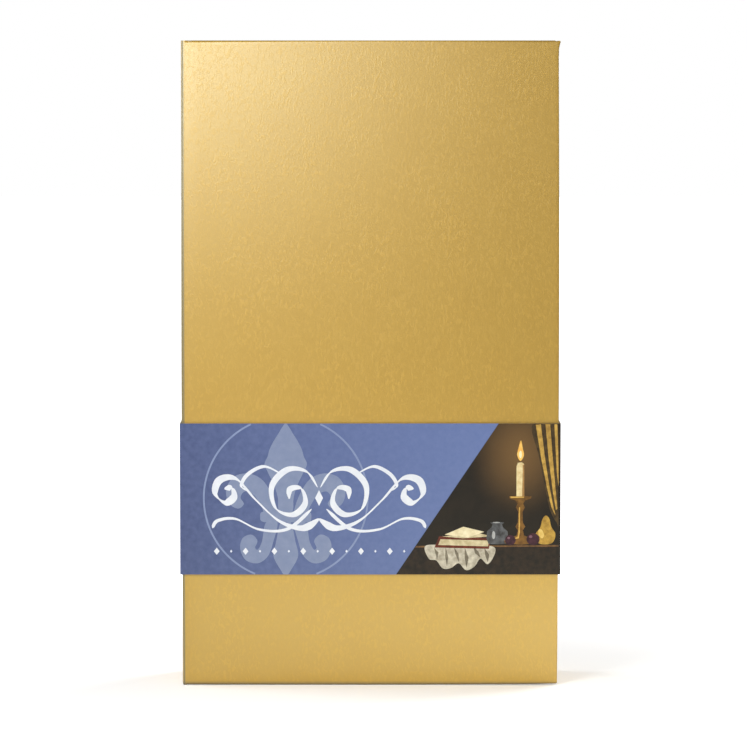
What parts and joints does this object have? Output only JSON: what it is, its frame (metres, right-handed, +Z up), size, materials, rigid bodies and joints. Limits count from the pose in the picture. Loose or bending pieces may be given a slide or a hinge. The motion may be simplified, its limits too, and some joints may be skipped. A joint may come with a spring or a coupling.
{
  "type": "calligraphy set box",
  "caption": "Upright hinged gift case in gold grained paper with a blue paper band, holding a feather pen, nibs, ink, sealing wax and a seal in a foam insert",
  "frame": {"origin": "Under the middle of the case, on the surface that it stands on", "axes": "+Z up along the case's long side, -Y out of the cover's face, +X to the right of someone facing the cover"},
  "size_m": [0.1636, 0.0466, 0.277],
  "materials": {
    "gold_paper": "satin",
    "greyboard": "matte",
    "lining_paper": "matte",
    "tray_paper": "satin",
    "foam": "matte",
    "band_card": "satin",
    "feather": "matte",
    "quill": "satin",
    "turned_brass": "satin",
    "nib_steel": "polished",
    "bottle_glass": "gloss",
    "ink": "gloss",
    "label_paper": "matte",
    "cap_plastic": "gloss",
    "liner": "matte",
    "wax_red": "satin",
    "wax_blue": "satin",
    "wick": "matte",
    "handle_wood": "gloss"
  },
  "bodies": {
    "base": {"spine_board": "greyboard", "back_board": "greyboard", "case_paper": "gold_paper", "tray": "greyboard", "tray_paper": "tray_paper", "foam_base": "foam", "foam_middle": "foam", "foam_top": "foam", "feather_vane": "feather", "feather_shaft": "quill", "pen_grip": "turned_brass", "spare_nibs": "nib_steel", "ink_bottle": "bottle_glass", "ink": "ink", "bottle_label": "label_paper", "wax_stick_left": "wax_red", "wax_stick_right": "wax_blue", "wax_wicks": "wick", "seal_handle": "handle_wood", "seal_collar": "turned_brass", "seal_die": "turned_brass"},
    "cover": {"cover_board": "greyboard", "cover_paper": "gold_paper", "cover_lining": "lining_paper"},
    "band_wrap": {"band_wrap": "band_card"},
    "band_front": {"band_front": "band_card"},
    "pen_nib": {"pen_nib": "nib_steel"},
    "cap_liner": {"cap_liner": "liner"},
    "ink_cap": {"ink_cap": "cap_plastic"}
  },
  "joints": [
    {"name": "cover_hinge", "type": "hinge", "parent": "base", "child": "cover", "pos_m": [-0.081, -0.0225, 0], "axis": [0, 0, -1], "range_deg": [0, 180]},
    {"name": "band_slide", "type": "slide", "parent": "base", "child": "band_wrap", "axis": [0, 0, 1], "range_m": [-0.0475, 0.235]},
    {"name": "band_fold", "type": "hinge", "parent": "band_wrap", "child": "band_front", "pos_m": [-0.081, -0.0225, 0], "axis": [0, 0, -1], "range_deg": [0, 180]},
    {"name": "nib_pull", "type": "slide", "parent": "base", "child": "pen_nib", "axis": [0, 0, -1], "range_m": [0, 0.014]},
    {"name": "cap_rise", "type": "slide", "parent": "base", "child": "cap_liner", "axis": [0, 0, 1], "range_m": [0, 0.0046]},
    {"name": "cap_turn", "type": "hinge", "parent": "cap_liner", "child": "ink_cap", "pos_m": [0.0259, -0.0019, 0.255], "axis": [0, 0, 1], "range_deg": [0, 540]}
  ],
  "couplings": [
    {"joint": "band_fold", "follows": "cover_hinge", "ratio": 1},
    {"joint": "cap_rise", "follows": "cap_turn", "m_per_rad": 0.00047746}
  ]
}
